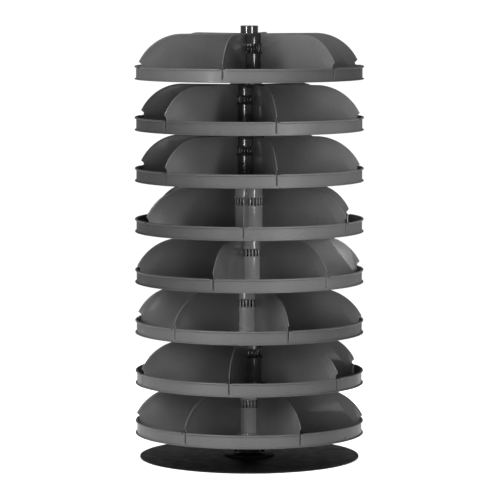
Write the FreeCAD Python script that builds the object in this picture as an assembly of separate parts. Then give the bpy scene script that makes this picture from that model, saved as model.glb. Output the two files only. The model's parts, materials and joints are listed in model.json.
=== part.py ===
import FreeCAD, Part
import math
import os

# Revolving parts bin: eight round steel tiers, each split into six wedge compartments, each
# turning by itself about one fixed post on a round base plate.
# Millimetres and degrees. +Z is up, the origin is on the floor under the post's axis.

# Driving dimensions
TIERS = 8
TIER_PITCH = 191.5          # from one tier to the next
LOWEST_RIM_TOP = 144.0      # height of the lowest rim's top edge
OVERALL_R = 432.0           # to the outside of the rolled rims
RIM_DEPTH = 51.0            # rim's top edge to the tier's underside
SHEET = 1.2                 # sheet steel of the floors and rims
PLATE = 1.5                 # sheet steel of the dividers
COMPARTMENTS = 6
# Where each tier's first divider points, from the front (-Y) towards +X, lowest tier first
TIER_TURNS = [26.2, -10.1, 19.7, -18.2, -3.0, 13.6, 13.3, -13.2]
POST_R = 33.0
POST_WALL = 3.0
POST_TOP = 1634.0
BASE_R = 415.0
BASE_THICK = 6.0
HUB_R = 58.5
HUB_WALL = 2.0
DIVIDER_TOP = 121.0         # dividers and hub, above the rim's top edge

# Rolled rim
WALL_R = 426.0              # outside of the rim's wall
LIP_R = (OVERALL_R - WALL_R + SHEET) / 2    # radius of the rolled top edge, from the wall's inside
SLOT_WIDTH = 4.2
SLOT_DEPTH = 44.0
LIP_GAP = 22.0              # the roll is left out this far across each slot
HEM_GAP = 16.0              # and so is the hem round the floor
HEM_WIDTH = 5.0

# Heights in a tier, measured from the rim's top edge
UNDERSIDE = -RIM_DEPTH
FLOOR_TOP = UNDERSIDE + SHEET
FLANGE_TOP = FLOOR_TOP + SHEET
HEM_TOP = FLANGE_TOP + SHEET

# Dividers
DIVIDER_FLAT_R = 262.0      # the top edge is level out to here
DIVIDER_ARC_R = 188.0       # then it falls in one arc
DIVIDER_CORNER_R = 430.0    # to a corner just over the rim
DIVIDER_OUTER_R = 422.6     # below the corner it stands inside the rim
DIVIDER_INNER_R = 59.5
FOLD_WIDTH = 7.0            # the edge is folded back on itself this far
TAB_R = 427.6               # outer tab, through the foot of the rim's slot
TAB_LOW = -43.5
TAB_HIGH = -38.5

# Hub with its swaged bead and slots
BEAD_MIDDLE = 64.0          # above the rim's top edge
BEAD_HALF = 18.0
BEAD_PROUD = 4.0
BEAD_SLOTS = 30
BEAD_SLOT_WIDTH = 6.5
BEAD_SLOT_HALF = 15.0
NOTCH_HALF = 20.0           # the divider's inner edge steps back past the bead
NOTCH_R = 64.5
HOOK_HALF = 10.0            # and a hook enters the slot
HOOK_R = 57.2
FOOT_R = 84.0
FOOT_THICK = 1.8

# Bushes that carry a tier on the post
RUNNING_GAP = 0.08
BUSH_BOSS_R = 39.5
BUSH_RING_R = 53.0
BUSH_WEB = 5.0
BUSH_RING_TALL = 14.0
BUSH_BOSS_TALL = 20.0
BUSH_LIP = 2.0
BUSH_BELOW = 1.3            # the lower boss stands this far below the floor
FLOOR_HOLE_R = 41.0

# Rivets through the hub's foot
RIVET_CIRCLE_R = 72.0
RIVET_R = 2.4
RIVET_HEAD_R = 4.6
RIVET_HEAD_TALL = 2.4
FIT_GAP = 0.05              # assembled pieces that stay still

# Collars and washers on the post
WASHER_THICK = 2.0
WASHER_R = 45.0
THRUST_GAP = 0.2
COLLAR_TALL = 14.0
COLLAR_R = 48.0
SCREW_R = 4.0
SCREW_OUT = 46.5
SCREW_SOCKET_R = 2.3
SCREW_SOCKET_DEEP = 4.0
SCREW_DIRECTION = 90.0      # at the back

# Foot of the post
SOCKET_FLANGE_R = 95.0
SOCKET_FLANGE_THICK = 8.0
SOCKET_TUBE_R = 43.0
SOCKET_TALL = 56.0
SOCKET_FILLET = 5.0
BOLT_CIRCLE_R = 70.0
BOLTS = 4
BOLT_R = 5.0
BOLT_HEAD_R = 9.8           # across corners
BOLT_HEAD_TALL = 6.4
BOLT_END = 0.5              # the bolts stop this far above the floor
PIN_R = 5.0
PIN_HEIGHT = 38.0
PLUG_LIP = 2.0
PLUG_TALL = 18.0
BASE_EDGE = 2.0             # rounding of the base plate's upper edge

ORIGIN = FreeCAD.Vector(0, 0, 0)
UP = FreeCAD.Vector(0, 0, 1)


def turned(shape, angle, height=0.0):
    """A copy of the shape, turned about Z and lifted."""
    moved = shape.copy()
    moved.rotate(ORIGIN, UP, angle)
    moved.translate(FreeCAD.Vector(0, 0, height))
    return moved


def ring_of(shape, count, first=0.0):
    """Copies of the shape, evenly spaced about Z."""
    return [turned(shape, first + 360.0 * n / count) for n in range(count)]


def edge(start, end):
    """A straight edge between two (radius, height) points."""
    return Part.makeLine(FreeCAD.Vector(start[0], 0, start[1]), FreeCAD.Vector(end[0], 0, end[1]))


def arc(start, middle, end):
    """An arc through three (radius, height) points."""
    places = [FreeCAD.Vector(r, 0, z) for r, z in (start, middle, end)]
    return Part.Arc(*places).toShape()


def chain(points):
    """Straight edges through a run of (radius, height) points."""
    return [edge(a, b) for a, b in zip(points, points[1:])]


def spun(edges):
    """The solid that a closed outline in the XZ plane sweeps round Z."""
    face = Part.Face(Part.Wire(edges))
    return face.revolve(ORIGIN, UP, 360)


def spun_corners(points):
    """The same, from the corners of an outline with no arcs."""
    return spun(chain(points + points[:1]))


def tube(inner, outer, low, high):
    return spun_corners([(inner, low), (outer, low), (outer, high), (inner, high)])


def slab(edges, low, high):
    """A flat plate with an outline in the XZ plane, from one y to another."""
    face = Part.Face(Part.Wire(edges))
    face.translate(FreeCAD.Vector(0, low, 0))
    return face.extrude(FreeCAD.Vector(0, high - low, 0))


def radial_box(inner, outer, width, low, high):
    """A box along +X, centred on the XZ plane."""
    corner = FreeCAD.Vector(inner, -width / 2, low)
    return Part.makeBox(outer - inner, width, high - low, corner)


def radial_rod(radius, inner, outer, height):
    """A rod along +X."""
    start = FreeCAD.Vector(inner, 0, height)
    return Part.makeCylinder(radius, outer - inner, start, FreeCAD.Vector(1, 0, 0))


def floor():
    """Round sheet floor, its edge folded up and back over the rim's flange."""
    inside = OVERALL_R - HEM_WIDTH
    outline = [
        (FLOOR_HOLE_R, UNDERSIDE),
        (OVERALL_R, UNDERSIDE),
        (OVERALL_R, HEM_TOP),
        (inside, HEM_TOP),
        (inside, FLANGE_TOP),
        (OVERALL_R - SHEET, FLANGE_TOP),
        (OVERALL_R - SHEET, FLOOR_TOP),
        (FLOOR_HOLE_R, FLOOR_TOP),
    ]
    gap = radial_box(inside - 1, OVERALL_R + 1, HEM_GAP, FLOOR_TOP, HEM_TOP + 1)
    hole = rivet_hole(UNDERSIDE - 1, FLOOR_TOP + 1)
    cuts = ring_of(gap, COMPARTMENTS) + ring_of(hole, COMPARTMENTS, 180.0 / COMPARTMENTS)
    return spun_corners(outline).cut(cuts)


def rim():
    """Sheet band with a rolled top edge and a foot flange, slotted at each divider."""
    inside = WALL_R - SHEET
    roll_r = OVERALL_R - LIP_R
    wall = tube(inside, WALL_R, FLOOR_TOP, -LIP_R)
    flange = tube(inside, OVERALL_R - SHEET - FIT_GAP, FLOOR_TOP, FLANGE_TOP)
    roll = Part.makeTorus(roll_r, LIP_R, FreeCAD.Vector(0, 0, -LIP_R))
    slot = radial_box(inside - 5, OVERALL_R + 1, SLOT_WIDTH, -SLOT_DEPTH, 1)
    gap = radial_box(WALL_R, OVERALL_R + 1, LIP_GAP, -2 * LIP_R - 1, 1)
    cuts = ring_of(slot, COMPARTMENTS) + ring_of(gap, COMPARTMENTS)
    return wall.fuse([flange, roll]).cut(cuts).removeSplitter()


def divider():
    """Upright plate along +X: hooked into the hub's bead, tabbed into the rim's slot."""
    centre_z = DIVIDER_TOP - DIVIDER_ARC_R
    reach = DIVIDER_CORNER_R - DIVIDER_FLAT_R
    corner_angle = math.acos(reach / DIVIDER_ARC_R)

    def on_arc(angle, radius=DIVIDER_ARC_R):
        return (DIVIDER_FLAT_R + radius * math.cos(angle), centre_z + radius * math.sin(angle))

    half_way = (corner_angle + math.pi / 2) / 2
    flat_end = (DIVIDER_FLAT_R, DIVIDER_TOP)
    corner = on_arc(corner_angle)
    inner = [
        (DIVIDER_INNER_R, FLOOR_TOP + FOOT_THICK + SHEET),
        (DIVIDER_INNER_R, BEAD_MIDDLE - NOTCH_HALF),
        (NOTCH_R, BEAD_MIDDLE - NOTCH_HALF),
        (NOTCH_R, BEAD_MIDDLE - HOOK_HALF),
        (HOOK_R, BEAD_MIDDLE - HOOK_HALF),
        (HOOK_R, BEAD_MIDDLE + HOOK_HALF),
        (NOTCH_R, BEAD_MIDDLE + HOOK_HALF),
        (NOTCH_R, BEAD_MIDDLE + NOTCH_HALF),
        (DIVIDER_INNER_R, BEAD_MIDDLE + NOTCH_HALF),
        (DIVIDER_INNER_R, DIVIDER_TOP),
        flat_end,
    ]
    outer = [
        corner,
        (DIVIDER_OUTER_R, corner[1] - FOLD_WIDTH - PLATE),
        (DIVIDER_OUTER_R, TAB_HIGH),
        (TAB_R, TAB_HIGH),
        (TAB_R, TAB_LOW),
        (DIVIDER_OUTER_R, TAB_LOW),
        (DIVIDER_OUTER_R, FLOOR_TOP),
        (FOOT_R + PLATE, FLOOR_TOP),
        (FOOT_R + PLATE, inner[0][1]),
        inner[0],
    ]
    fall = arc(flat_end, on_arc(half_way), corner)
    plate = slab(chain(inner) + [fall] + chain(outer), -PLATE / 2, PLATE / 2)

    inset = DIVIDER_ARC_R - FOLD_WIDTH
    fold_start = (DIVIDER_FLAT_R, DIVIDER_TOP - FOLD_WIDTH)
    fold_corner = on_arc(corner_angle, inset)
    inner_fall = arc(fold_start, on_arc(half_way, inset), fold_corner)
    fold_foot = (DIVIDER_INNER_R, DIVIDER_TOP - FOLD_WIDTH)
    fold_edges = chain([fold_start, fold_foot, (DIVIDER_INNER_R, DIVIDER_TOP), flat_end])
    fold_edges += [fall, edge(corner, fold_corner), inner_fall]
    fold = slab(fold_edges, PLATE / 2, PLATE * 1.5)
    return plate.fuse(fold)


def hub():
    """Tube on a riveted foot, with a swaged bead whose slots take the dividers' hooks."""
    inside = HUB_R - HUB_WALL
    foot_top = FLOOR_TOP + FOOT_THICK
    top = DIVIDER_TOP - BUSH_LIP
    bead_low = BEAD_MIDDLE - BEAD_HALF
    bead_high = BEAD_MIDDLE + BEAD_HALF
    lower = chain([(inside, bead_low), (inside, FLOOR_TOP), (FOOT_R, FLOOR_TOP), (FOOT_R, foot_top),
                   (HUB_R, foot_top), (HUB_R, bead_low)])
    upper = chain([(HUB_R, bead_high), (HUB_R, top), (inside, top), (inside, bead_high)])
    bulge = arc((HUB_R, bead_low), (HUB_R + BEAD_PROUD, BEAD_MIDDLE), (HUB_R, bead_high))
    hollow = arc((inside, bead_high), (inside + BEAD_PROUD, BEAD_MIDDLE), (inside, bead_low))
    slot = radial_box(inside - 5, HUB_R + 2 * BEAD_PROUD, BEAD_SLOT_WIDTH,
                      BEAD_MIDDLE - BEAD_SLOT_HALF, BEAD_MIDDLE + BEAD_SLOT_HALF)
    hole = rivet_hole(FLOOR_TOP - 1, foot_top + 1)
    cuts = ring_of(slot, BEAD_SLOTS) + ring_of(hole, COMPARTMENTS, 180.0 / COMPARTMENTS)
    return spun(lower + [bulge] + upper + [hollow]).cut(cuts)


def lower_bush():
    """Nylon bush in the hub's foot, its boss passing through the floor."""
    ring_r = HUB_R - HUB_WALL
    return spun_corners([
        (POST_R + RUNNING_GAP, UNDERSIDE - BUSH_BELOW),
        (BUSH_BOSS_R, UNDERSIDE - BUSH_BELOW),
        (BUSH_BOSS_R, FLOOR_TOP),
        (ring_r, FLOOR_TOP),
        (ring_r, FLOOR_TOP + BUSH_RING_TALL),
        (BUSH_RING_R, FLOOR_TOP + BUSH_RING_TALL),
        (BUSH_RING_R, FLOOR_TOP + BUSH_WEB),
        (BUSH_BOSS_R, FLOOR_TOP + BUSH_WEB),
        (BUSH_BOSS_R, FLOOR_TOP + BUSH_BOSS_TALL),
        (POST_R + RUNNING_GAP, FLOOR_TOP + BUSH_BOSS_TALL),
    ])


def upper_bush():
    """Nylon bush that caps the hub's tube."""
    ring_r = HUB_R - HUB_WALL
    seat = DIVIDER_TOP - BUSH_LIP
    return spun_corners([
        (POST_R + RUNNING_GAP, DIVIDER_TOP),
        (HUB_R, DIVIDER_TOP),
        (HUB_R, seat),
        (ring_r, seat),
        (ring_r, seat - BUSH_RING_TALL),
        (BUSH_RING_R, seat - BUSH_RING_TALL),
        (BUSH_RING_R, seat - BUSH_WEB),
        (BUSH_BOSS_R, seat - BUSH_WEB),
        (BUSH_BOSS_R, seat - BUSH_BOSS_TALL),
        (POST_R + RUNNING_GAP, seat - BUSH_BOSS_TALL),
    ])


def rivet_hole(low, high):
    return Part.makeCylinder(RIVET_R + FIT_GAP, high - low, FreeCAD.Vector(RIVET_CIRCLE_R, 0, low))


def rivet():
    """Domed rivet through the hub's foot and the floor, flush underneath."""
    foot_top = FLOOR_TOP + FOOT_THICK
    dome_r = (RIVET_HEAD_R ** 2 + RIVET_HEAD_TALL ** 2) / (2 * RIVET_HEAD_TALL)
    half_angle = math.asin(RIVET_HEAD_R / dome_r) / 2
    crown = (0, foot_top + RIVET_HEAD_TALL)
    shoulder = (dome_r * math.sin(half_angle), crown[1] - dome_r * (1 - math.cos(half_angle)))
    edges = chain([crown, (0, UNDERSIDE), (RIVET_R, UNDERSIDE), (RIVET_R, foot_top),
                   (RIVET_HEAD_R, foot_top)])
    edges += [arc((RIVET_HEAD_R, foot_top), shoulder, crown)]
    solid = spun(edges)
    solid.translate(FreeCAD.Vector(RIVET_CIRCLE_R, 0, 0))
    return solid


def washer():
    high = UNDERSIDE - BUSH_BELOW - THRUST_GAP
    return tube(POST_R + FIT_GAP, WASHER_R, high - WASHER_THICK, high)


def collar_high():
    return UNDERSIDE - BUSH_BELOW - THRUST_GAP - WASHER_THICK


def collar():
    """Ring on the post under each tier, with one tapped hole for its set screw."""
    high = collar_high()
    ring = tube(POST_R + FIT_GAP, COLLAR_R, high - COLLAR_TALL, high)
    hole = radial_rod(SCREW_R, POST_R - 5, COLLAR_R + 1, high - COLLAR_TALL / 2)
    return ring.cut(turned(hole, SCREW_DIRECTION))


def collar_screw():
    """Set screw with a round-bottomed driving socket, tight against the post."""
    middle = collar_high() - COLLAR_TALL / 2
    rod = radial_rod(SCREW_R - FIT_GAP, POST_R + FIT_GAP, SCREW_OUT, middle)
    socket = radial_rod(SCREW_SOCKET_R, SCREW_OUT - SCREW_SOCKET_DEEP, SCREW_OUT + 1, middle)
    return turned(rod.cut(socket), SCREW_DIRECTION)


def base_plate():
    """Flat round plate on the floor, its upper edge rounded, with tapped holes for the socket."""
    bevel = BASE_EDGE * (1 - math.sqrt(0.5))
    disc = [(0, 0), (BASE_R, 0), (BASE_R, BASE_THICK - BASE_EDGE)]
    turn = arc(disc[-1], (BASE_R - bevel, BASE_THICK - bevel), (BASE_R - BASE_EDGE, BASE_THICK))
    top = chain([(BASE_R - BASE_EDGE, BASE_THICK), (0, BASE_THICK), (0, 0)])
    hole = Part.makeCylinder(BOLT_R + FIT_GAP, BASE_THICK + 2, FreeCAD.Vector(BOLT_CIRCLE_R, 0, -1))
    return spun(chain(disc) + [turn] + top).cut(ring_of(hole, BOLTS, 180.0 / BOLTS))


def post_socket():
    """Flanged foot that the post stands in."""
    bore = POST_R + FIT_GAP
    flange_top = BASE_THICK + SOCKET_FLANGE_THICK
    top = BASE_THICK + SOCKET_TALL
    body = spun_corners([
        (bore, BASE_THICK),
        (SOCKET_FLANGE_R, BASE_THICK),
        (SOCKET_FLANGE_R, flange_top),
        (SOCKET_TUBE_R + SOCKET_FILLET, flange_top),
        (SOCKET_TUBE_R, flange_top + SOCKET_FILLET),
        (SOCKET_TUBE_R, top),
        (bore, top),
    ])
    hole = Part.makeCylinder(BOLT_R + FIT_GAP, SOCKET_FLANGE_THICK + 2,
                             FreeCAD.Vector(BOLT_CIRCLE_R, 0, BASE_THICK - 1))
    cross = radial_rod(PIN_R + FIT_GAP, -SOCKET_FLANGE_R, SOCKET_FLANGE_R, PIN_HEIGHT)
    return body.cut(ring_of(hole, BOLTS, 180.0 / BOLTS) + [cross])


def socket_bolt():
    """Hexagon-headed bolt through the socket's flange into the base plate."""
    seat = BASE_THICK + SOCKET_FLANGE_THICK
    corners = [FreeCAD.Vector(BOLT_HEAD_R * math.cos(math.radians(60 * n)),
                              BOLT_HEAD_R * math.sin(math.radians(60 * n)), seat) for n in range(7)]
    head = Part.Face(Part.makePolygon(corners)).extrude(FreeCAD.Vector(0, 0, BOLT_HEAD_TALL))
    shank = Part.makeCylinder(BOLT_R, seat - BOLT_END, FreeCAD.Vector(0, 0, BOLT_END))
    bolt = head.fuse(shank)
    bolt.translate(FreeCAD.Vector(BOLT_CIRCLE_R, 0, 0))
    return bolt


def post():
    """Steel tube from the base plate to the top, cross-drilled for its pin."""
    body = tube(POST_R - POST_WALL, POST_R, BASE_THICK, POST_TOP - PLUG_LIP)
    return body.cut(radial_rod(PIN_R + FIT_GAP, -2 * POST_R, 2 * POST_R, PIN_HEIGHT))


def post_pin():
    return radial_rod(PIN_R, -SOCKET_TUBE_R, SOCKET_TUBE_R, PIN_HEIGHT)


def post_plug():
    """Flat plug that closes the post's open end."""
    inside = POST_R - POST_WALL - FIT_GAP
    seat = POST_TOP - PLUG_LIP
    return spun_corners([
        (0, POST_TOP),
        (0, seat - PLUG_TALL),
        (inside, seat - PLUG_TALL),
        (inside, seat),
        (POST_R, seat),
        (POST_R, POST_TOP),
    ])


def save(name, solids):
    """Write one node. Every solid in it stays a separate closed solid."""
    for solid in solids:
        if not solid.isValid():
            raise RuntimeError(name + " has a solid that is not valid")
    shape = solids[0] if len(solids) == 1 else Part.makeCompound(solids)
    shape.exportStep("parts/" + name + ".step")
    print(name, len(shape.Solids), "solids, volume", round(shape.Volume / 1000.0, 1), "cm3")


def main():
    os.makedirs("parts", exist_ok=True)
    rim_tops = [LOWEST_RIM_TOP + TIER_PITCH * n for n in range(TIERS)]
    tier = {
        "floor": [floor()],
        "rim": [rim()],
        "dividers": ring_of(divider(), COMPARTMENTS),
        "hub": [hub()],
        "bushes": [lower_bush(), upper_bush()],
        "rivets": ring_of(rivet(), COMPARTMENTS, 180.0 / COMPARTMENTS),
    }
    for n in range(TIERS):
        # the shapes above have a divider along +X; the turns count from -Y
        angle = TIER_TURNS[n] - 90.0
        for piece, solids in tier.items():
            save("tier_%d_%s" % (n + 1, piece), [turned(s, angle, rim_tops[n]) for s in solids])

    save("thrust_washers", [turned(washer(), 0, top) for top in rim_tops])
    save("tier_collars", [turned(collar(), 0, top) for top in rim_tops])
    save("collar_screws", [turned(collar_screw(), 0, top) for top in rim_tops])
    save("base_plate", [base_plate()])
    save("post_socket", [post_socket()])
    save("socket_bolts", ring_of(socket_bolt(), BOLTS, 180.0 / BOLTS))
    save("post", [post()])
    save("post_pin", [post_pin()])
    save("post_plug", [post_plug()])


main()
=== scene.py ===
import cmath
import json
import math

import bmesh
import bpy
from mathutils import Matrix, Vector


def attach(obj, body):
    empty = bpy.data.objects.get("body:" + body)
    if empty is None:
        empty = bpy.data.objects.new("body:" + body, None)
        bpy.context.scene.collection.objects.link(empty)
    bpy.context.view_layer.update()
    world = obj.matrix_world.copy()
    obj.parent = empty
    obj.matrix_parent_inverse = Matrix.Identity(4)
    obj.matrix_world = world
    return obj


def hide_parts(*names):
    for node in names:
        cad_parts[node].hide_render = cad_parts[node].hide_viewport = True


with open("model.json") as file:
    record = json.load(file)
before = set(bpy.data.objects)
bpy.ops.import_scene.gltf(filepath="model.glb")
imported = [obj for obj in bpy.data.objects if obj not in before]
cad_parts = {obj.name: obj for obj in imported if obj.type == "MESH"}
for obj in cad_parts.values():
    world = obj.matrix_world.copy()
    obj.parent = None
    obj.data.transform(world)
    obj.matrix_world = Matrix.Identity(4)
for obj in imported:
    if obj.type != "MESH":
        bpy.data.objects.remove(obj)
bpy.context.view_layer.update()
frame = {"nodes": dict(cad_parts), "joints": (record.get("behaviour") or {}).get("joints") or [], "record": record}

# A revolving parts bin: eight sheet-steel tiers that turn on one post. The CAD model gives each piece's
# place and size. Here the sheet pieces get their real rolls, folds, slots and rounded edges, and all
# pieces get their paint. Shapes are worked out in millimetres and go into Blender in metres.

ROWS = {row["node"]: row for row in frame["record"]["subparts"]}
TIERS = {joint["child"]: joint["pos_m"][2] for joint in frame["joints"]}
COMPARTMENTS = 6
SECTOR = 360.0 / COMPARTMENTS

# Sizes of one tier in millimetres, as in the CAD model but for the two that say so. Heights are from the
# rim's top edge.
OVERALL_R = 432.0
ROUND_R = OVERALL_R - 0.05  # a smooth round edge at the full size would stand proud of the CAD facets
WALL_R = 426.0
SHEET = 1.2
UNDERSIDE = -51.0
FLOOR_TOP = UNDERSIDE + SHEET
FLANGE_R = 430.1            # of the rim's foot, inside the floor's fold
ROLL_R = 3.6                # outside of the rolled top edge
SLOT_WIDTH = 4.8            # 0.6 more than in the CAD model
SLOT_LOW = -44.0
LIP_GAP = 22.0
HEM_GAP = 16.0
HEM_WIDTH = 5.0
FLOOR_HOLE_R = 41.0
PLATE = 1.5
DIVIDER_TOP = 121.0
DIVIDER_FLAT_R = 262.0
DIVIDER_ARC_R = 188.0
DIVIDER_CORNER_R = 430.0
DIVIDER_OUTER_R = 419.6     # 3 less than in the CAD model, so that the slots are dark
DIVIDER_INNER_R = 59.5
FOLD_WIDTH = 7.0
TAB_R = 427.6
TAB_LOW = -43.5
TAB_HIGH = -38.5
HUB_R = 58.5
HUB_WALL = 2.0
FOOT_R = 84.0
FOOT_THICK = 1.8
FOOT_TOP = FLOOR_TOP + FOOT_THICK
BEAD_MIDDLE = 64.0
BEAD_HALF = 18.0
BEAD_PROUD = 4.0
BEAD_SLOTS = 30
BEAD_SLOT_WIDTH = 6.5
BEAD_SLOT_HALF = 15.0
NOTCH_HALF = 20.0           # a divider's inner edge steps back past the bead
NOTCH_R = 64.5
HOOK_HALF = 10.0            # and a hook enters one of the bead's slots
HOOK_R = 57.2
RIVET_CIRCLE_R = 72.0
RIVET_R = 2.4
RIVET_HEAD_R = 4.6
BUSH_BOSS_R = 39.5
BUSH_RING_R = 53.0
POST_R = 33.0
FIT_GAP = 0.05              # between assembled pieces that stay still
RUNNING_GAP = 0.08          # between the bushes and the post

METRES = 0.001


# ---------------------------------------------------------------- materials

class Graph:
    """A material with its Principled shader, and short ways to add nodes to it."""

    def __init__(self, name):
        self.material = bpy.data.materials.new(name)
        self.material.use_nodes = True
        self.nodes = self.material.node_tree.nodes
        self.links = self.material.node_tree.links
        self.shader = self.nodes["Principled BSDF"]
        self.place = self.nodes.new("ShaderNodeTexCoord").outputs["Object"]

    def add(self, kind, **inputs):
        node = self.nodes.new(kind)
        for name, value in inputs.items():
            self.feed(node.inputs[name.replace("_", " ")], value)
        return node

    def feed(self, socket, value):
        if isinstance(value, bpy.types.NodeSocket):
            self.links.new(value, socket)
        else:
            socket.default_value = value

    def noise(self, scale, detail=3.0, roughness=0.5, stretch=None):
        """Noise from 0 to 1 with that many features to the metre."""
        place = self.place
        if stretch:
            mapping = self.add("ShaderNodeMapping", Vector=place, Scale=stretch)
            place = mapping.outputs["Vector"]
        node = self.add("ShaderNodeTexNoise", Vector=place, Scale=scale, Detail=detail, Roughness=roughness)
        return node.outputs["Fac"]

    def ramp(self, value, from_low, from_high, to_low, to_high):
        """The value moved from one range to another, and held inside it."""
        node = self.nodes.new("ShaderNodeMapRange")
        self.feed(node.inputs["Value"], value)
        for name, number in (("From Min", from_low), ("From Max", from_high),
                             ("To Min", to_low), ("To Max", to_high)):
            self.feed(node.inputs[name], number)
        return node.outputs["Result"]

    def math(self, operation, first, second=0.0):
        node = self.nodes.new("ShaderNodeMath")
        node.operation = operation
        self.feed(node.inputs[0], first)
        self.feed(node.inputs[1], second)
        return node.outputs[0]

    def mix(self, share, first, second):
        """One colour over another."""
        node = self.nodes.new("ShaderNodeMix")
        node.data_type = "RGBA"
        self.feed(node.inputs[0], share)
        self.feed(node.inputs[6], first)
        self.feed(node.inputs[7], second)
        return node.outputs[2]

    def bump(self, height, distance, under=None):
        node = self.add("ShaderNodeBump", Height=height, Distance=distance, Strength=1.0)
        if under:
            self.feed(node.inputs["Normal"], under)
        return node.outputs["Normal"]

    def set(self, **inputs):
        for name, value in inputs.items():
            self.feed(self.shader.inputs[name.replace("_", " ")], value)


def grey(level):
    return (level, level, level * 1.01, 1.0)


def powder_coat(name, level, rough_low, rough_high, peel, waviness, clear_coat):
    """Baked paint on sheet steel: faint mottling, orange peel, slight waviness, a few scuffs.

    Peel and waviness are heights in metres.
    """
    g = Graph(name)
    broad = g.noise(7.0, 2.0)
    fine = g.noise(90.0, 4.0, 0.6)
    tone = g.ramp(broad, 0.3, 0.7, level * 0.93, level * 1.07)
    spots = g.ramp(fine, 0.35, 0.65, 0.96, 1.04)
    base = g.math("MULTIPLY", tone, spots)
    colour = g.add("ShaderNodeCombineColor", Red=base, Green=base, Blue=base).outputs["Color"]
    scratches = g.ramp(g.noise(60.0, 5.0, 0.6, (1.0, 1.0, 9.0)), 0.66, 0.74, 0.0, 1.0)
    patches = g.ramp(g.noise(11.0, 1.0), 0.52, 0.66, 0.0, 0.5)
    scuffs = g.math("MULTIPLY", scratches, patches)
    colour = g.mix(scuffs, colour, grey(level * 1.6))
    roughness = g.ramp(g.noise(16.0, 3.0), 0.3, 0.7, rough_low, rough_high)
    wave = g.bump(g.noise(5.0, 1.0), waviness)
    skin = g.bump(g.noise(700.0, 2.0), peel, wave)
    g.set(Base_Color=colour, Roughness=roughness, Normal=skin)
    g.set(Coat_Weight=clear_coat, Coat_Roughness=0.12)
    return g.material


def steel(name, level, roughness, grain):
    """Bare or plated steel with fine turning marks."""
    g = Graph(name)
    marks = g.noise(grain, 3.0, 0.6, (1.0, 1.0, 8.0))
    tone = g.ramp(marks, 0.3, 0.7, level * 0.85, level * 1.1)
    colour = g.add("ShaderNodeCombineColor", Red=tone, Green=tone, Blue=tone).outputs["Color"]
    g.set(Base_Color=colour, Metallic=1.0)
    g.set(Roughness=g.ramp(marks, 0.3, 0.7, roughness * 0.8, roughness * 1.3))
    g.set(Normal=g.bump(marks, 0.00008))
    return g.material


def plastic(name, level):
    """Moulded nylon with a fine spark-eroded grain."""
    g = Graph(name)
    tone = g.ramp(g.noise(30.0, 3.0), 0.3, 0.7, level * 0.85, level * 1.15)
    colour = g.add("ShaderNodeCombineColor", Red=tone, Green=tone, Blue=tone).outputs["Color"]
    g.set(Base_Color=colour, Roughness=g.ramp(g.noise(55.0), 0.3, 0.7, 0.42, 0.55))
    g.set(Normal=g.bump(g.noise(1200.0, 2.0), 0.00006))
    return g.material


def black_base(name, level):
    """Black textured powder coat."""
    g = Graph(name)
    tone = g.ramp(g.noise(40.0, 4.0, 0.6), 0.3, 0.7, level * 0.7, level * 1.4)
    colour = g.add("ShaderNodeCombineColor", Red=tone, Green=tone, Blue=tone).outputs["Color"]
    g.set(Base_Color=colour, Roughness=g.ramp(g.noise(20.0), 0.3, 0.7, 0.42, 0.55))
    g.set(Normal=g.bump(g.noise(420.0, 3.0), 0.0002), Specular_IOR_Level=0.22)
    return g.material


TIER_PAINT = powder_coat("grey_powder_coat", level=0.12, rough_low=0.38, rough_high=0.5,
                         peel=0.00004, waviness=0.0014, clear_coat=0.06)
DIVIDER_PAINT = powder_coat("light_grey_powder_coat", level=0.136, rough_low=0.28, rough_high=0.38,
                            peel=0.000006, waviness=0.0004, clear_coat=0.55)
HUB_PAINT = powder_coat("smooth_grey_coat", level=0.21, rough_low=0.14, rough_high=0.2,
                        peel=0.000004, waviness=0.0001, clear_coat=0.4)
# Black gloss enamel, the post's own colour. The hubs whose slot is dark_hub_paint get it as well, and on them the
# near-black colour is painted shade on hubs that are the same grey as the others.
BLACK_GLOSS_AND_SHADE_PAINT = powder_coat("dark_gloss_enamel", level=0.018, rough_low=0.12, rough_high=0.18,
                         peel=0.000001, waviness=0.00004, clear_coat=0.3)
BASE_PAINT = black_base("black_textured_coat", level=0.004)
NYLON = plastic("black_nylon", level=0.03)
BARE_STEEL = steel("turned_steel", level=0.5, roughness=0.3, grain=120.0)
PLATED_STEEL = steel("zinc_plated_steel", level=0.6, roughness=0.22, grain=200.0)
BLACK_STEEL = steel("black_oxide_steel", level=0.02, roughness=0.4, grain=200.0)

# dark_hub_paint paints those hubs near-black in place of the grey hub paint: a painted shade.
FINISHES = {"tier_paint": TIER_PAINT, "divider_paint": DIVIDER_PAINT, "hub_paint": HUB_PAINT,
            "dark_hub_paint": BLACK_GLOSS_AND_SHADE_PAINT, "post_paint": BLACK_GLOSS_AND_SHADE_PAINT, "base_paint": BASE_PAINT,
            "bush_nylon": NYLON, "plug_plastic": NYLON, "bare_steel": BARE_STEEL,
            "plated_steel": PLATED_STEEL, "black_steel": BLACK_STEEL}


def finish_of(node):
    return FINISHES[ROWS[node]["material_slot"]]


# ---------------------------------------------------------------- mesh helpers

def arc(centre, radius, start, end, count):
    """Points (radius, height) along an arc, both ends included, from angles in degrees."""
    turns = [math.radians(start + (end - start) * n / (count - 1)) for n in range(count)]
    return [(centre[0] + radius * math.cos(t), centre[1] + radius * math.sin(t)) for t in turns]


def on_circle(r, z, angle):
    return Vector((r * math.cos(angle), r * math.sin(angle), z))


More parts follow.
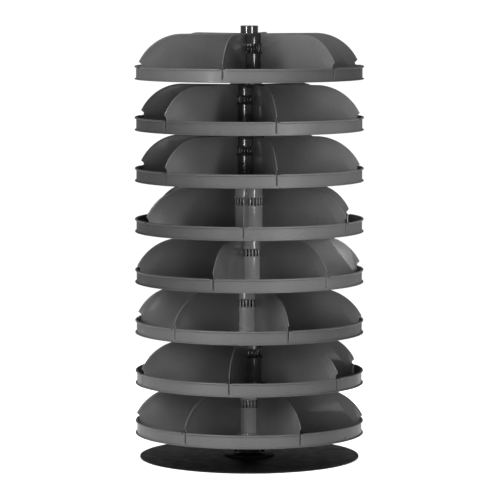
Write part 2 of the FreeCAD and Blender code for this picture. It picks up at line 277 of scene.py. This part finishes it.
def grid(columns, exists, closed=True):
    """A surface of quads over columns of points, without the cells that exists(column, row) refuses."""
    bm = bmesh.new()
    corners = [[bm.verts.new(point) for point in column] for column in columns]
    for i in range(len(columns) if closed else len(columns) - 1):
        a, b = corners[i], corners[(i + 1) % len(columns)]
        for j in range(len(a) - 1):
            if exists(i, j):
                bm.faces.new((a[j], b[j], b[j + 1], a[j + 1]))
    bmesh.ops.remove_doubles(bm, verts=bm.verts, dist=0.001)
    bmesh.ops.delete(bm, geom=[v for v in bm.verts if not v.link_faces], context="VERTS")
    return bm


def finished(bm, thickness=0.0, edge=0.25):
    """The shape as a mesh, with the sheet's thickness half to each side and its sharp edges rounded."""
    mesh = bpy.data.meshes.new("work")
    bmesh.ops.recalc_face_normals(bm, faces=bm.faces)
    bm.to_mesh(mesh)
    bm.free()
    thing = bpy.data.objects.new("work", mesh)
    bpy.context.scene.collection.objects.link(thing)
    if thickness:
        solid = thing.modifiers.new("thickness", "SOLIDIFY")
        solid.thickness = thickness
        solid.offset = 0.0
        solid.use_even_offset = True
    if edge:
        rounding = thing.modifiers.new("edges", "BEVEL")
        rounding.width = edge
        rounding.segments = 2
        rounding.limit_method = "ANGLE"
        rounding.angle_limit = math.radians(50)
    graph = bpy.context.evaluated_depsgraph_get()
    made = bpy.data.meshes.new_from_object(thing.evaluated_get(graph))
    bpy.data.objects.remove(thing)
    bpy.data.meshes.remove(mesh)
    return made


def repeated(mesh, places):
    """One mesh with a copy of the given one at each place."""
    bm = bmesh.new()
    for place in places:
        copy = mesh.copy()
        copy.transform(place)
        bm.from_mesh(copy)
        bpy.data.meshes.remove(copy)
    made = bpy.data.meshes.new("work")
    bm.to_mesh(made)
    bm.free()
    return made


def joined(*meshes):
    """One mesh from several."""
    bm = bmesh.new()
    for mesh in meshes:
        bm.from_mesh(mesh)
    made = bpy.data.meshes.new("work")
    bm.to_mesh(made)
    bm.free()
    return made


def ring_of(mesh, count, first=0.0, radius=0.0):
    """Copies evenly spaced about Z, the first at that angle in degrees, moved out by the radius."""
    outwards = Matrix.Translation((radius, 0, 0))
    return repeated(mesh, [Matrix.Rotation(math.radians(first + 360.0 * n / count), 4, "Z") @ outwards
                           for n in range(count)])


def spun(outline, steps=96, edge=0.4, skip=()):
    """A closed form about Z. Corners are (radius, height), and a radius or height may depend on the angle."""
    def column(angle):
        values = [(r(angle) if callable(r) else r, z(angle) if callable(z) else z) for r, z in outline]
        return [on_circle(r, z, angle) for r, z in values + values[:1]]
    columns = [column(2 * math.pi * n / steps) for n in range(steps)]
    return finished(grid(columns, lambda i, j: j not in skip), edge=edge)


def add_piece(name, mesh, body, node, place=Matrix.Identity(4)):
    """Put a finished mesh in the scene in place of a CAD node."""
    made = mesh.copy()
    made.name = name
    made.transform(Matrix.Scale(METRES, 4) @ place)
    made.shade_smooth()
    made.set_sharp_from_angle(angle=math.radians(40))
    made.materials.clear()
    made.materials.append(finish_of(node))
    piece = bpy.data.objects.new(name, made)
    bpy.context.scene.collection.objects.link(piece)
    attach(piece, body)
    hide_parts(node)
    return piece


# ---------------------------------------------------------------- pieces of a tier

def rim_mesh():
    """Sheet band: flange at the foot, wall, rolled top edge, and a slot for each divider.

    The sheet turns in a little at each side of a slot, and the roll is left out beside it. Half-way
    between two slots the wall has a small pressed dent.
    """
    middle = WALL_R - SHEET / 2
    flange_z = FLOOR_TOP + SHEET / 2
    bend = 1.8
    roll = (ROUND_R - ROLL_R, -ROLL_R)
    roll_middle = ROLL_R - SHEET / 2
    side = SLOT_WIDTH / 2
    shoulder = 4.0
    turn_r = 3.0
    turn_reach = 2.85
    foot = [(FLANGE_R, flange_z)] + arc((middle + bend, flange_z + bend), bend, -90, -180, 5)
    curl = arc(roll, roll_middle, 180, -122, 17)[1:]
    dent_z, dent_deep = -38.0, 2.2
    dent_wide, dent_tall = 8.0, 3.5
    wall_heights = [dent_z + step for step in (-3.5, -2.0, 0.0, 2.0, 3.5)] + [-24.0, -12.0, roll[1]]
    slot_row = len(foot)
    wall_row = slot_row + len(wall_heights)
    plain_top = wall_row + 2

    def rows(x, rolled):
        past = max(0.0, abs(x) - side)
        lean = math.asin(max(0.0, turn_reach - past) / turn_r)
        inset = turn_r * (1 - math.cos(lean))
        slot_z = SLOT_LOW + side - (math.sqrt(side ** 2 - x ** 2) if abs(x) < side else 0.0)
        top = -1.0 - shoulder + math.sqrt(max(0.0, shoulder ** 2 - max(0.0, shoulder - past) ** 2))
        made = list(foot) + [(middle - inset * 0.5, slot_z)]
        to_dent = math.radians(SECTOR / 2) * WALL_R - abs(x)
        for n, z in enumerate(wall_heights):
            dent = max(0.0, 1 - (to_dent / dent_wide) ** 2) * max(0.0, 1 - ((z - dent_z) / dent_tall) ** 2)
            made.append((middle - inset - dent_deep * dent, min(z, top - 0.6 * (len(wall_heights) - n))))
        if rolled:
            return made + curl
        made += [(middle - inset, (made[-1][1] + top) / 2), (middle - inset, top)]
        return made + made[-1:] * (len(curl) - 2)

    # stations across half a compartment, closer together where the sheet bends
    near = [0.0, 1.2, 1.8, side, side + 0.3, side + 0.8, side + 1.6, side + turn_reach, side + shoulder, 8.5]
    half = [(x, False) for x in near + [LIP_GAP / 2]]
    half += [(math.radians(a) * WALL_R, True) for a in (LIP_GAP / 2 / math.radians(WALL_R), 1.9, 2.5)]
    half += [(math.radians(a) * WALL_R, True) for a in [5 + 2.5 * n for n in range(10)]]
    half += [(math.radians(SECTOR / 2) * WALL_R - to_dent, True) for to_dent in (8.0, 5.5, 3.0, 0.0)]
    sector = [(-x, rolled) for x, rolled in half[:0:-1]] + half[:-1]
    stations = [(math.radians(SECTOR * k) + x / WALL_R, x, rolled)
                for k in range(COMPARTMENTS) for x, rolled in sector]
    columns = [[on_circle(r, z, angle) for r, z in rows(x, rolled)] for angle, x, rolled in stations]

    def exists(i, j):
        (_, x, rolled), (_, next_x, next_rolled) = stations[i], stations[(i + 1) % len(stations)]
        if rolled != next_rolled:
            return False
        if abs(x) <= side and abs(next_x) <= side:
            return j < slot_row
        return j < plain_top - 1 + (0 if not rolled else len(curl))

    return finished(grid(columns, exists), SHEET, 0.3)


def floor_mesh():
    """Round sheet, its edge folded over the rim's flange and left open at each slot."""
    low = UNDERSIDE + SHEET / 2
    high = low + 2 * SHEET
    turn = (ROUND_R - 1.5 * SHEET, low + SHEET)
    flat = [(r, low) for r in (FLOOR_HOLE_R, 60.0, 120.0, 240.0, 360.0, 424.0, turn[0])]
    fold = arc(turn, SHEET, -90, 90, 9)[1:] + [(OVERALL_R - HEM_WIDTH, high)]
    open_fold = [(ROUND_R, low)] * len(fold)
    gap = HEM_GAP / 2
    beside = 14.0
    half = [(x, False) for x in (0.0, gap)] + [(x, True) for x in (gap, beside)]
    half += [(math.radians(a) * OVERALL_R, True) for a in [2.5 * n for n in range(1, 13)]]
    sector = [(-x, folded) for x, folded in half[:0:-1]] + half[:-1]
    stations = [(math.radians(SECTOR * k) + x / OVERALL_R, folded)
                for k in range(COMPARTMENTS) for x, folded in sector]
    columns = [[on_circle(r, z, angle) for r, z in flat + (fold if folded else open_fold)]
               for angle, folded in stations]

    def exists(i, j):
        folded, next_folded = stations[i][1], stations[(i + 1) % len(stations)][1]
        if folded != next_folded:
            return False
        return folded or j < len(flat)

    return finished(grid(columns, exists), SHEET, 0.3)


def divider_mesh():
    """Upright plate along +X, its top edge folded back on itself in a round bend."""
    half = PLATE / 2
    arc_z = DIVIDER_TOP - DIVIDER_ARC_R
    corner_turn = math.degrees(math.acos((DIVIDER_CORNER_R - DIVIDER_FLAT_R) / DIVIDER_ARC_R))
    fall = arc((DIVIDER_FLAT_R, arc_z), DIVIDER_ARC_R, 90, corner_turn, 33)
    path = [(DIVIDER_INNER_R + (DIVIDER_FLAT_R - DIVIDER_INNER_R) * n / 4, DIVIDER_TOP, 0.0, -1.0)
            for n in range(4)]
    path += [(r, z, (DIVIDER_FLAT_R - r) / DIVIDER_ARC_R, (arc_z - z) / DIVIDER_ARC_R) for r, z in fall]
    section = [(PLATE - d, half - s) for s, d in arc((0, 0), PLATE, 0, 180, 9)]
    section += [(FOLD_WIDTH - 0.4, half + PLATE), (FOLD_WIDTH, half + PLATE - 0.4), (FOLD_WIDTH, half)]
    corner_z = fall[-1][1]
    hook_low, hook_high = BEAD_MIDDLE - HOOK_HALF, BEAD_MIDDLE + HOOK_HALF
    notch_low, notch_high = BEAD_MIDDLE - NOTCH_HALF, BEAD_MIDDLE + NOTCH_HALF
    clear_of_foot = FOOT_R + PLATE
    lift = FOOT_TOP + SHEET
    slope = 3.0
    rest = [
        (DIVIDER_OUTER_R, corner_z - FOLD_WIDTH - PLATE), (DIVIDER_OUTER_R, TAB_HIGH),
        (TAB_R, TAB_HIGH), (TAB_R, TAB_LOW), (DIVIDER_OUTER_R, TAB_LOW), (DIVIDER_OUTER_R, FLOOR_TOP),
        (clear_of_foot, FLOOR_TOP), (clear_of_foot - slope, lift), (DIVIDER_INNER_R, lift),
        (DIVIDER_INNER_R, notch_low), (NOTCH_R, notch_low), (NOTCH_R, hook_low), (HOOK_R, hook_low),
        (HOOK_R, hook_high), (NOTCH_R, hook_high), (NOTCH_R, notch_high), (DIVIDER_INNER_R, notch_high),
    ]
    bm = bmesh.new()
    folds = [[bm.verts.new((r + depth * nr, side, z + depth * nz)) for depth, side in section]
             for r, z, nr, nz in path]
    back = [bm.verts.new((r, -half, z)) for r, z in rest]
    front = [bm.verts.new((r, half, z)) for r, z in rest]
    for a, b in zip(folds, folds[1:]):
        for j in range(len(section) - 1):
            bm.faces.new((a[j], b[j], b[j + 1], a[j + 1]))
    for n in range(len(rest) - 1):
        bm.faces.new((back[n], back[n + 1], front[n + 1], front[n]))
    bm.faces.new([f[0] for f in folds] + back)
    bm.faces.new([f[-1] for f in folds] + front)
    bm.faces.new(folds[-1])
    bm.faces.new((folds[-1][0], folds[-1][-1], front[0], back[0]))
    bm.faces.new(folds[0] + [front[-1], back[-1]])
    return finished(bm, edge=0.2)


def hub_mesh():
    """Tube on a flared foot, with a swaged bead cut into bars that bow outwards."""
    middle = HUB_R - HUB_WALL / 2
    foot_z = FLOOR_TOP + HUB_WALL / 2
    bend = 3.0
    bulge_r = (BEAD_HALF ** 2 + BEAD_PROUD ** 2) / (2 * BEAD_PROUD)
    side = BEAD_SLOT_WIDTH / 2
    end = BEAD_SLOT_HALF - side
    near_bend = 70.0
    near_bead = BEAD_HALF + 1.0
    bow_depth = 1.1
    low = [(FOOT_R, foot_z), (near_bend, foot_z)]
    low += arc((middle + bend, foot_z + bend), bend, -90, -180, 6)
    low += [(middle, foot_z + bend + 2.0), (middle, 0.0), (middle, BEAD_MIDDLE - near_bead)]
    bars = [-BEAD_HALF, -16.0, -end, -7.0, -3.5, 0.0, 3.5, 7.0, end, 16.0, BEAD_HALF]
    high = [(middle, BEAD_MIDDLE + near_bead), (middle, 100.0), (middle, DIVIDER_TOP - 2.0)]
    slot_rows = range(len(low) + 2, len(low) + len(bars) - 3)

    def rows(x, across):
        """x is from a slot's middle, and across goes from 0 to 1 over a bar."""
        made = list(low)
        round_end = math.sqrt(max(0.0, side ** 2 - x ** 2))
        for h in bars:
            if abs(h) == end:
                h = math.copysign(end + round_end, h)
            proud = math.sqrt(bulge_r ** 2 - h ** 2) - (bulge_r - BEAD_PROUD)
            bow = bow_depth * (2 * across - 1) ** 2 * (1 - (h / BEAD_HALF) ** 2)
            made.append((middle + proud - bow, BEAD_MIDDLE + h))
        return made + high

    pitch = 360.0 / BEAD_SLOTS
    bead_r = middle + BEAD_PROUD
    bar = math.radians(pitch) * bead_r - BEAD_SLOT_WIDTH
    stations = []
    for k in range(BEAD_SLOTS):
        base = math.radians(pitch * k)
        for x in (-0.9, -0.5, 0.0, 0.5, 0.9):
            stations.append((base + x * side / bead_r, x * side, 0.0, True))
        for n in range(7):
            stations.append((base + (side + bar * n / 6) / bead_r, side, n / 6, False))
    columns = [[on_circle(r, z, angle) for r, z in rows(x, across)] for angle, x, across, _ in stations]

    def exists(i, j):
        open_cell = stations[i][3] or stations[(i + 1) % len(stations)][3]
        return not (open_cell and j in slot_rows)

    return finished(grid(columns, exists), HUB_WALL, 0.3)


def bush_mesh():
    """Two nylon bushes: one in the hub's foot, one that caps the hub."""
    bore, boss, ring, rim = POST_R + RUNNING_GAP, BUSH_BOSS_R, HUB_R - HUB_WALL - FIT_GAP, BUSH_RING_R
    top = DIVIDER_TOP
    lower = [(bore, UNDERSIDE - 1.3), (boss, UNDERSIDE - 1.3), (boss, FLOOR_TOP), (ring, FLOOR_TOP),
             (ring, FLOOR_TOP + 14), (rim, FLOOR_TOP + 14), (rim, FLOOR_TOP + 5), (boss, FLOOR_TOP + 5),
             (boss, FLOOR_TOP + 20), (bore, FLOOR_TOP + 20)]
    upper = [(bore, top - 22), (boss, top - 22), (boss, top - 7), (rim, top - 7), (rim, top - 16),
             (ring, top - 16), (ring, top - 2), (HUB_R, top - 2), (HUB_R, top), (bore, top)]
    return joined(spun(lower, edge=0.5), spun(upper, edge=0.6))


def rivet_mesh():
    """Domed head above the hub's foot, low formed head under the floor."""
    crown = [(RIVET_HEAD_R * math.cos(math.radians(a)), FOOT_TOP + 0.2 + 2.2 * math.sin(math.radians(a)))
             for a in range(0, 91, 15)]
    tail = [(3.4 * math.sin(math.radians(a)), UNDERSIDE - 0.5 * math.cos(math.radians(a)))
            for a in range(0, 91, 30)]
    outline = tail + [(RIVET_R, UNDERSIDE), (RIVET_R, FOOT_TOP), (RIVET_HEAD_R, FOOT_TOP)] + crown
    return spun(outline, steps=20, edge=0.0, skip=(len(outline) - 1,))


def tier_turn(tier):
    """The angle of a tier's first divider, from the tabs of its CAD dividers in the rim's slots."""
    points = [v.co for v in frame["nodes"][tier + "_dividers"].data.vertices]
    tabs = [complex(p.x, p.y) for p in points
            if p.z < TIERS[tier] and p.xy.length > (TAB_R - 0.1) * METRES]
    return cmath.phase(sum(cmath.exp(1j * COMPARTMENTS * cmath.phase(tab)) for tab in tabs)) / COMPARTMENTS


# ---------------------------------------------------------------- pieces of the stand

# Sizes of the stand in millimetres. The collar's height is from the rim's top edge, the others are from
# the floor.
BASE_THICK = 6.0
BASE_R = 415.0
FLANGE_THICK = 8.0
BOLT_CIRCLE_R = 70.0
SCREW_OUT = 46.5
COLLAR_TOP = UNDERSIDE - 3.5
COLLAR_TALL = 14.0
COLLAR_R = 48.0
WASHER_R = 45.0
WASHER_THICK = 2.0
POST_TOP = 1634.0
STAND_BORE = POST_R + FIT_GAP


def hexagon(across_flats):
    """A hexagon's radius at an angle."""
    def radius(angle):
        from_flat = (math.degrees(angle) + 30.0) % 60.0 - 30.0
        return across_flats / 2 / math.cos(math.radians(from_flat))
    return radius


def base_mesh():
    edge_r, chamfer = 2.0, 0.6
    rounding = arc((BASE_R - edge_r, BASE_THICK - edge_r), edge_r, 0, 90, 6)
    outline = [(0.0, 0.0), (BASE_R - chamfer, 0.0), (BASE_R, chamfer)] + rounding + [(0.0, BASE_THICK)]
    return spun(outline, steps=180, edge=0.0, skip=(len(outline) - 1,))


def socket_mesh():
    tube_r, flange_r, weld_r = 43.0, 95.0, 6.0
    flange, top = BASE_THICK + FLANGE_THICK, BASE_THICK + 56.0
    weld = arc((tube_r + weld_r, flange + weld_r), weld_r, 270, 180, 6)
    return spun([(STAND_BORE, BASE_THICK), (flange_r, BASE_THICK), (flange_r, flange)] + weld
                + [(tube_r, top), (STAND_BORE, top)], edge=0.8)


def bolt_mesh():
    """Hexagon head with a chamfered top, and its shank."""
    seat, tall, flats, shank_r, chamfer_r = BASE_THICK + FLANGE_THICK, 6.4, 17.0, 5.0, 8.3
    chamfer_slope = 0.58
    corner = hexagon(flats)

    def chamfer(angle):
        return seat + tall - max(0.0, corner(angle) - chamfer_r) * chamfer_slope

    outline = [(0.0, 0.5), (shank_r, 0.5), (shank_r, seat), (corner, seat), (corner, chamfer),
               (chamfer_r, seat + tall), (0.0, seat + tall)]
    return spun(outline, steps=60, edge=0.0, skip=(len(outline) - 1,))


def screw_mesh():
    """Set screw along +Z from its own foot, with a hexagonal driving socket."""
    foot, head, socket = STAND_BORE, SCREW_OUT, hexagon(4.0)
    outline = [(0.0, foot), (3.4, foot), (3.95, foot + 0.6), (3.95, head - 0.6), (3.5, head),
               (socket, head), (socket, head - 4.0), (0.0, head - 5.0)]
    return spun(outline, steps=36, edge=0.0, skip=(len(outline) - 1,))


def washer_mesh():
    top = COLLAR_TOP + WASHER_THICK
    return spun([(STAND_BORE, COLLAR_TOP), (WASHER_R, COLLAR_TOP), (WASHER_R, top), (STAND_BORE, top)],
                edge=0.3)


def collar_mesh():
    low = COLLAR_TOP - COLLAR_TALL
    return spun([(STAND_BORE, low), (COLLAR_R, low), (COLLAR_R, COLLAR_TOP), (STAND_BORE, COLLAR_TOP)],
                edge=1.0)


def plug_mesh():
    """Stem inside the post's end, and a cap that covers its edge."""
    stem_r, low, under_cap, edge_r = POST_R - 3.05, POST_TOP - 20.0, POST_TOP - 2.0, 0.7
    rounding = arc((POST_R - edge_r, POST_TOP - edge_r), edge_r, 0, 90, 4)
    outline = [(0.0, low), (stem_r, low), (stem_r, under_cap), (POST_R, under_cap)] + rounding
    outline += [(0.0, POST_TOP)]
    return spun(outline, edge=0.0, skip=(len(outline) - 1,))


# ---------------------------------------------------------------- the object

def make_tiers():
    shapes = {
        "rim": ("rolled_rim", rim_mesh()),
        "floor": ("hemmed_floor", floor_mesh()),
        "dividers": ("folded_dividers", ring_of(divider_mesh(), COMPARTMENTS)),
        "hub": ("slotted_hub", hub_mesh()),
        "bushes": ("nylon_bushes", bush_mesh()),
        "rivets": ("domed_rivets", ring_of(rivet_mesh(), COMPARTMENTS, SECTOR / 2, RIVET_CIRCLE_R)),
    }
    for tier, rim_top in TIERS.items():
        place = Matrix.Translation((0, 0, rim_top / METRES)) @ Matrix.Rotation(tier_turn(tier), 4, "Z")
        for part, (label, mesh) in shapes.items():
            add_piece(tier + "_" + label, mesh, tier, tier + "_" + part, place)


def make_stand():
    levels = [Matrix.Translation((0, 0, rim_top / METRES)) for rim_top in TIERS.values()]
    screw_place = (Matrix.Translation((0, 0, COLLAR_TOP - COLLAR_TALL / 2))
                   @ Matrix.Rotation(math.radians(-90), 4, "X"))
    add_piece("rounded_base", base_mesh(), "stand", "base_plate")
    add_piece("welded_socket", socket_mesh(), "stand", "post_socket")
    add_piece("hex_bolts", ring_of(bolt_mesh(), 4, 45.0, BOLT_CIRCLE_R), "stand", "socket_bolts")
    add_piece("capped_plug", plug_mesh(), "stand", "post_plug")
    add_piece("chamfered_collars", repeated(collar_mesh(), levels), "stand", "tier_collars")
    add_piece("flat_washers", repeated(washer_mesh(), levels), "stand", "thrust_washers")
    add_piece("set_screws", repeated(screw_mesh(), [level @ screw_place for level in levels]),
              "stand", "collar_screws")
    for node in ("post", "post_pin"):
        slots = frame["nodes"][node].data.materials
        slots.clear()
        slots.append(finish_of(node))


make_tiers()
make_stand()


# ---------------------------------------------------------------- stage, light and camera

def make_floor(half, level, glow):
    """A plain pale floor."""
    mesh = bpy.data.meshes.new("floor")
    corners = [(-half, -half, 0), (half, -half, 0), (half, half, 0), (-half, half, 0)]
    mesh.from_pydata(corners, [], [(0, 1, 2, 3)])
    thing = bpy.data.objects.new("floor", mesh)
    bpy.context.scene.collection.objects.link(thing)
    g = Graph("floor_paint")
    g.set(Base_Color=grey(level), Roughness=0.9)
    g.set(Emission_Color=(1, 1, 1, 1), Emission_Strength=glow)
    mesh.materials.append(g.material)
    thing.visible_diffuse = False


def soft_light(name, azimuth, distance, height, aim, width, tall, power, mirrored=True, things=()):
    """A rectangular softbox. Azimuth 0 is the camera's side and 90 the right.

    It lights everything, or only the given things, and glossy paint mirrors it or doesn't.
    """
    data = bpy.data.lights.new(name, "AREA")
    data.shape = "RECTANGLE"
    data.size = width
    data.size_y = tall
    data.energy = power
    light = bpy.data.objects.new(name, data)
    turn = math.radians(azimuth)
    light.location = (distance * math.sin(turn), -distance * math.cos(turn), height)
    light.rotation_euler = (Vector((0, 0, aim)) - light.location).to_track_quat("-Z", "Y").to_euler()
    light.visible_glossy = mirrored
    bpy.context.scene.collection.objects.link(light)
    if things:
        lit = bpy.data.collections.new(name)
        for thing in things:
            lit.objects.link(thing)
        light.light_linking.receiver_collection = lit


def make_world(side, top, backdrop):
    """White walls that fade to a dimmer ceiling, seen by the camera as a plain white backdrop."""
    world = bpy.data.worlds.new("studio")
    world.use_nodes = True
    nodes, links = world.node_tree.nodes, world.node_tree.links
    direction = nodes.new("ShaderNodeTexCoord").outputs["Generated"]
    parts = nodes.new("ShaderNodeSeparateXYZ")
    links.new(direction, parts.inputs[0])
    fall = nodes.new("ShaderNodeMapRange")
    fall.interpolation_type = "SMOOTHSTEP"
    for name, value in (("From Min", 0.05), ("From Max", 0.7), ("To Min", side), ("To Max", top)):
        fall.inputs[name].default_value = value
    links.new(parts.outputs["Z"], fall.inputs["Value"])
    seen = nodes.new("ShaderNodeMix")
    links.new(nodes.new("ShaderNodeLightPath").outputs["Is Camera Ray"], seen.inputs[0])
    links.new(fall.outputs["Result"], seen.inputs[2])
    seen.inputs[3].default_value = backdrop
    links.new(seen.outputs[0], nodes["Background"].inputs["Strength"])
    nodes["Background"].inputs["Color"].default_value = (1, 1, 1, 1)
    bpy.context.scene.world = world


def make_camera():
    """A long lens about as high as the top, tilted down a little."""
    data = bpy.data.cameras.new("camera")
    data.sensor_width = 36.0
    data.lens = 222.6
    camera = bpy.data.objects.new("camera", data)
    camera.location = (0.0026, -11.643, 1.847)
    camera.rotation_euler = (math.radians(90 - 5.20), 0, 0)
    bpy.context.scene.collection.objects.link(camera)
    bpy.context.scene.camera = camera


RIGHT_LIT = ("tier_4", "tier_5", "tier_6", "tier_7")
AIM = 0.85                  # height that the lights point at


def takes_key(piece, side):
    """Whether a piece is lit by the key light on that side."""
    tier = next((tier for tier in TIERS if piece.startswith(tier)), None)
    return tier is None or (tier in RIGHT_LIT) == (side == "right")


def make_lights():
    """Broad softboxes in front, behind and overhead, and a key light at each side.

    The key on the right lights some tiers and the one on the left the others, so that every tier has
    light and dark wedges. Low strips draw the bright lines on the hubs and the post.
    """
    soft_light("front_softbox", 0, 3.5, 3.8, AIM, 2.4, 1.0, 41)
    soft_light("overhead_softbox", 0, 0.1, 4.6, AIM, 1.8, 1.8, 45)
    meshes = [thing for thing in bpy.data.objects if thing.type == "MESH"]
    turned = [thing for thing in meshes if thing.name.endswith("hub") or thing.name.startswith("post")]
    for name, side in (("left", -1), ("right", 1)):
        keyed = [thing for thing in meshes if takes_key(thing.name, name)]
        soft_light(name + "_front_softbox", 18 * side, 4.0, 1.0, AIM, 1.1, 2.0, 30, mirrored=False)
        soft_light(name + "_back_softbox", 168 * side, 4.0, 1.6, AIM, 1.8, 1.8, 60, mirrored=False)
        soft_light(name + "_key", 37 * side, 4.0, 2.2, AIM, 0.3, 1.9, 85, things=keyed)
        soft_light(name + "_strip", 37 * side, 4.0, 0.95, AIM, 0.25, 1.9, 40, things=turned)


make_floor(half=3.0, level=0.8, glow=0.7)
make_world(side=0.27, top=0.06, backdrop=1.05)
make_lights()
make_camera()
bpy.context.scene.view_settings.view_transform = "Standard"
